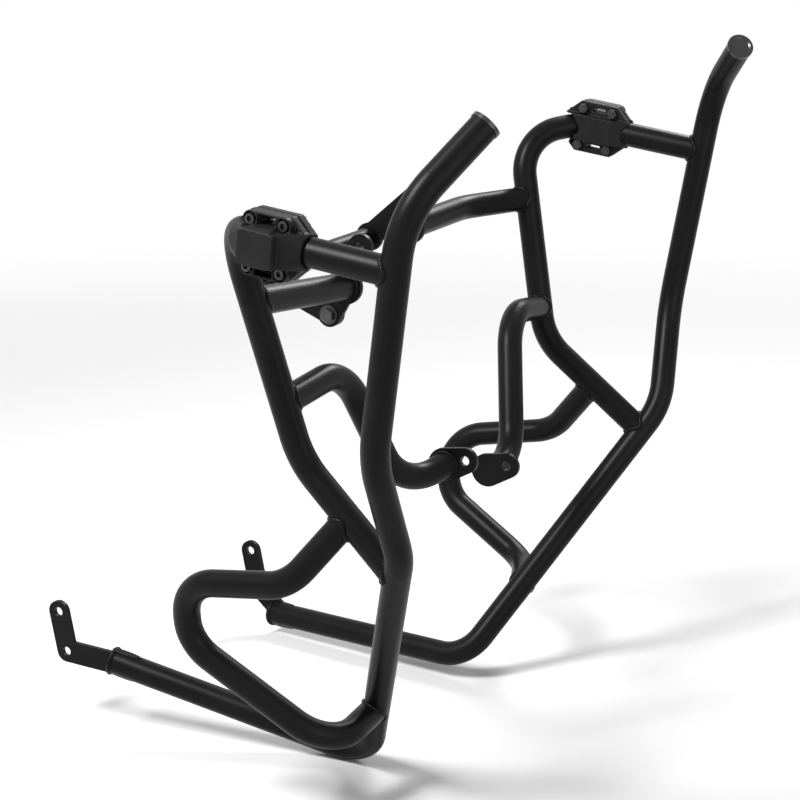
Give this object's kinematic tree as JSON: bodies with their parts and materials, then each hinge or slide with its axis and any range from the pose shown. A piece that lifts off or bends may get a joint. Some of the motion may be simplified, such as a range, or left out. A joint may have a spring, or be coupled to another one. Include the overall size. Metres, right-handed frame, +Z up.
{
  "type": "motorcycle crash bars",
  "caption": "Pair of bent tube engine guards for a motorcycle, joined by a bridge, with mount plates, end caps and clamp-on sliders.",
  "frame": {"origin": "middle of the bolt hole of the right middle plate", "axes": "+X along that hole to the rider's left, +Y to the rear, +Z up"},
  "size_m": [0.8456, 0.6186, 0.7405],
  "materials": {
    "powder_coat": "satin black powder coat",
    "slider_plastic": "moulded satin black",
    "cap_plastic": "gloss black",
    "fastener_steel": "black plated steel"
  },
  "bodies": {
    "root": {"right_main_tube": "powder_coat", "left_main_tube": "powder_coat", "right_hoop_tube": "powder_coat", "left_hoop_tube": "powder_coat", "right_lower_loop_tube": "powder_coat", "left_lower_loop_tube": "powder_coat", "right_middle_mount_tube": "powder_coat", "left_middle_mount_tube": "powder_coat", "right_upper_mount_tube": "powder_coat", "left_upper_mount_tube": "powder_coat", "right_lower_bracket": "powder_coat", "left_lower_bracket": "powder_coat", "right_middle_plate": "powder_coat", "left_middle_plate": "powder_coat", "right_upper_flange": "powder_coat", "left_upper_flange": "powder_coat", "right_end_cap": "cap_plastic", "left_end_cap": "cap_plastic", "right_slider_outer_half": "slider_plastic", "left_slider_outer_half": "slider_plastic", "right_slider_inner_half": "slider_plastic", "left_slider_inner_half": "slider_plastic", "right_slider_bolts": "fastener_steel", "left_slider_bolts": "fastener_steel", "right_slider_nuts": "fastener_steel", "left_slider_nuts": "fastener_steel", "right_slider_washers": "fastener_steel", "left_slider_washers": "fastener_steel", "bridge_tube": "powder_coat", "right_bridge_strip": "powder_coat", "left_bridge_strip": "powder_coat", "bridge_bolts": "fastener_steel", "bridge_nuts": "fastener_steel", "bridge_washers": "fastener_steel"}
  },
  "joints": []
}
